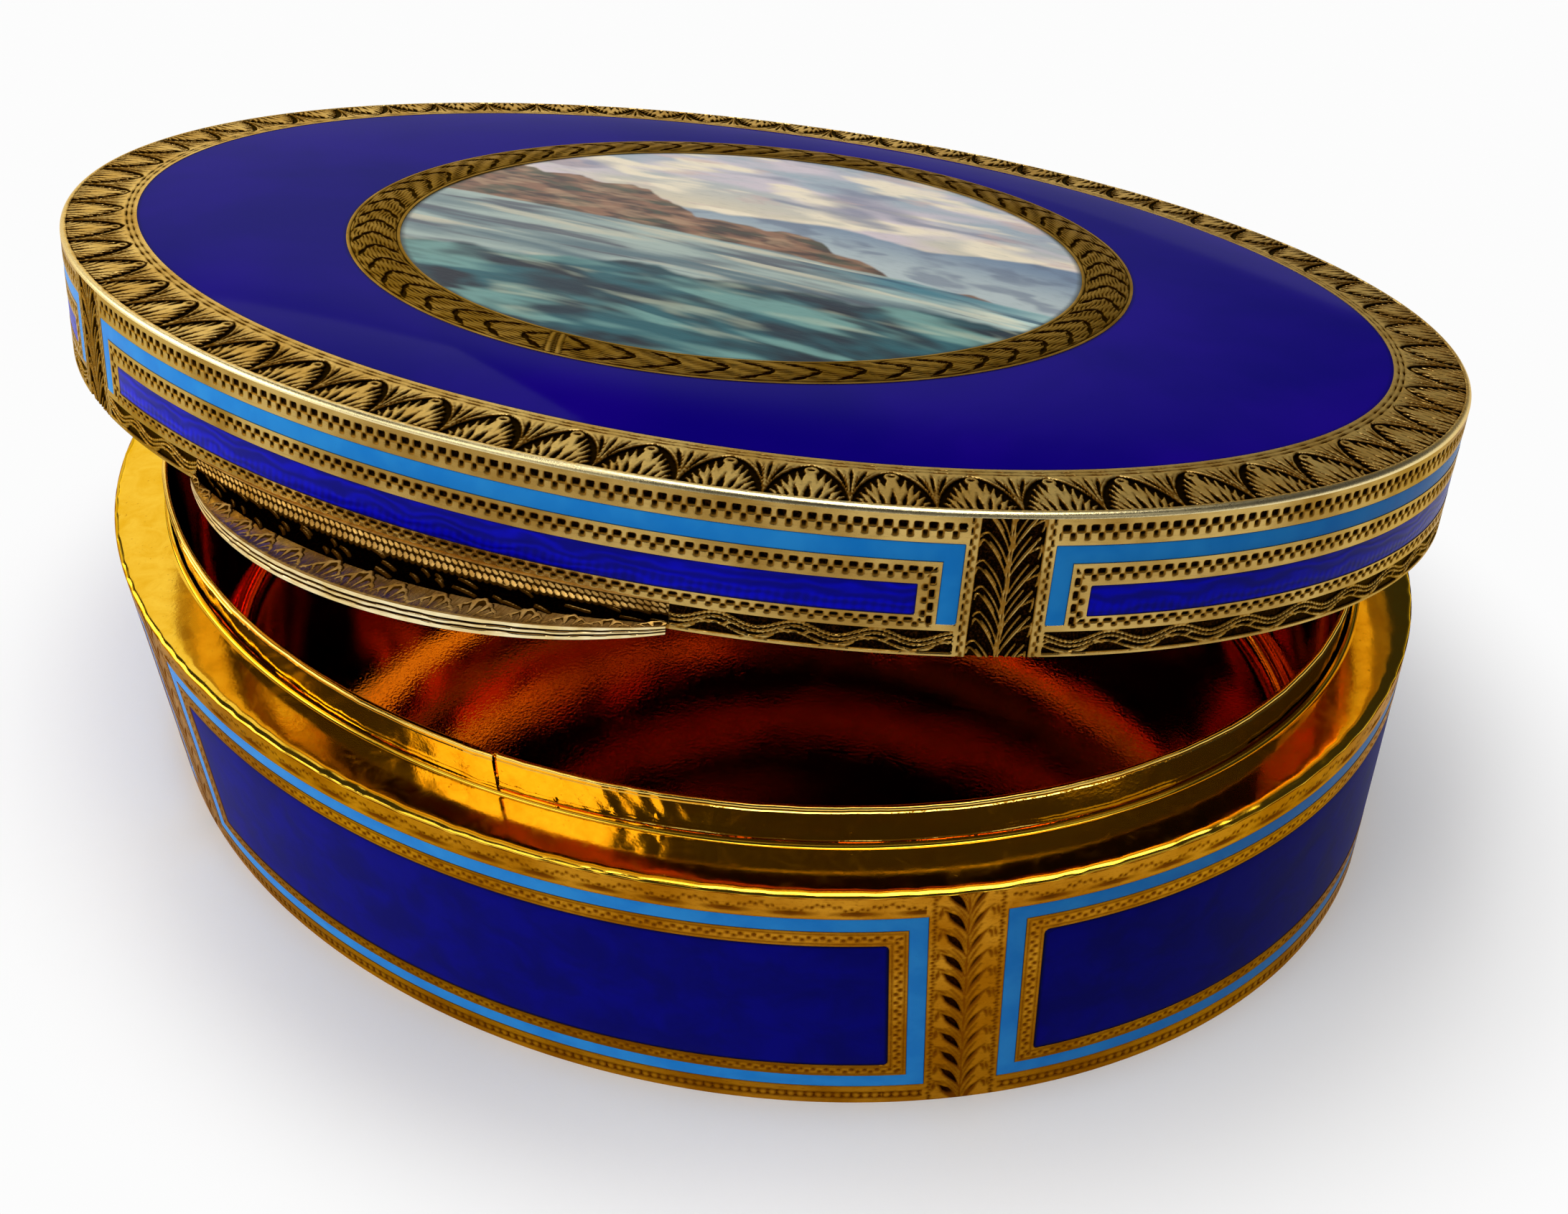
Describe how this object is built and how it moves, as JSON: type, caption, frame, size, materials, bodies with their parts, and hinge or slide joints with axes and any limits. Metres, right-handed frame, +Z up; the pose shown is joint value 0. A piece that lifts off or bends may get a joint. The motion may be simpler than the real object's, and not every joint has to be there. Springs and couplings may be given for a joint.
{
  "type": "table box",
  "caption": "Oval table box in gilded metal and enamel, with a hinged domed lid, a thumb-piece, an inner bezel and framed enamel panels.",
  "frame": {"origin": "centre of the base's flat underside", "axes": "+X along the oval's long axis to the right of the front, +Y to the back where the hinge is, +Z up out of the base"},
  "size_m": [0.15, 0.1244, 0.0714],
  "materials": {
    "gilt_engraved": "engraved gilding with dark recesses",
    "gilt_polished": "polished gilding",
    "enamel_cobalt": "glossy fired enamel",
    "enamel_strip": "glossy translucent enamel over a wavy engraved ground",
    "enamel_navy": "glossy fired enamel",
    "enamel_sky": "glossy opaque enamel",
    "enamel_painted": "painted enamel under clear flux"
  },
  "bodies": {
    "base": {"base_wall": "gilt_engraved", "base_floor": "gilt_polished", "base_ledge": "gilt_polished", "base_liner": "gilt_polished", "base_line_front": "enamel_sky", "base_line_right": "enamel_sky", "base_line_back": "enamel_sky", "base_line_left": "enamel_sky", "base_panel_front": "enamel_navy", "base_panel_right": "enamel_navy", "base_panel_back": "enamel_navy", "base_panel_left": "enamel_navy", "hinge_leaf_base": "gilt_polished", "hinge_pin": "gilt_polished"},
    "lid": {"lid_wall": "gilt_engraved", "lid_liner": "gilt_polished", "lid_top": "gilt_engraved", "lid_field": "enamel_cobalt", "painting_ring": "gilt_engraved", "painting": "enamel_painted", "lid_line_front": "enamel_sky", "lid_line_right": "enamel_sky", "lid_line_back": "enamel_sky", "lid_line_left": "enamel_sky", "lid_strip_front": "enamel_strip", "lid_strip_right": "enamel_strip", "lid_strip_back": "enamel_strip", "lid_strip_left": "enamel_strip", "thumb_piece": "gilt_engraved", "hinge_leaf_lid": "gilt_polished"}
  },
  "joints": [
    {"name": "lid_hinge", "type": "hinge", "parent": "base", "child": "lid", "pos_m": [0, 0.0603, 0.03115], "axis": [-1, 0, 0], "range_deg": [-13.5, 81.5]}
  ]
}
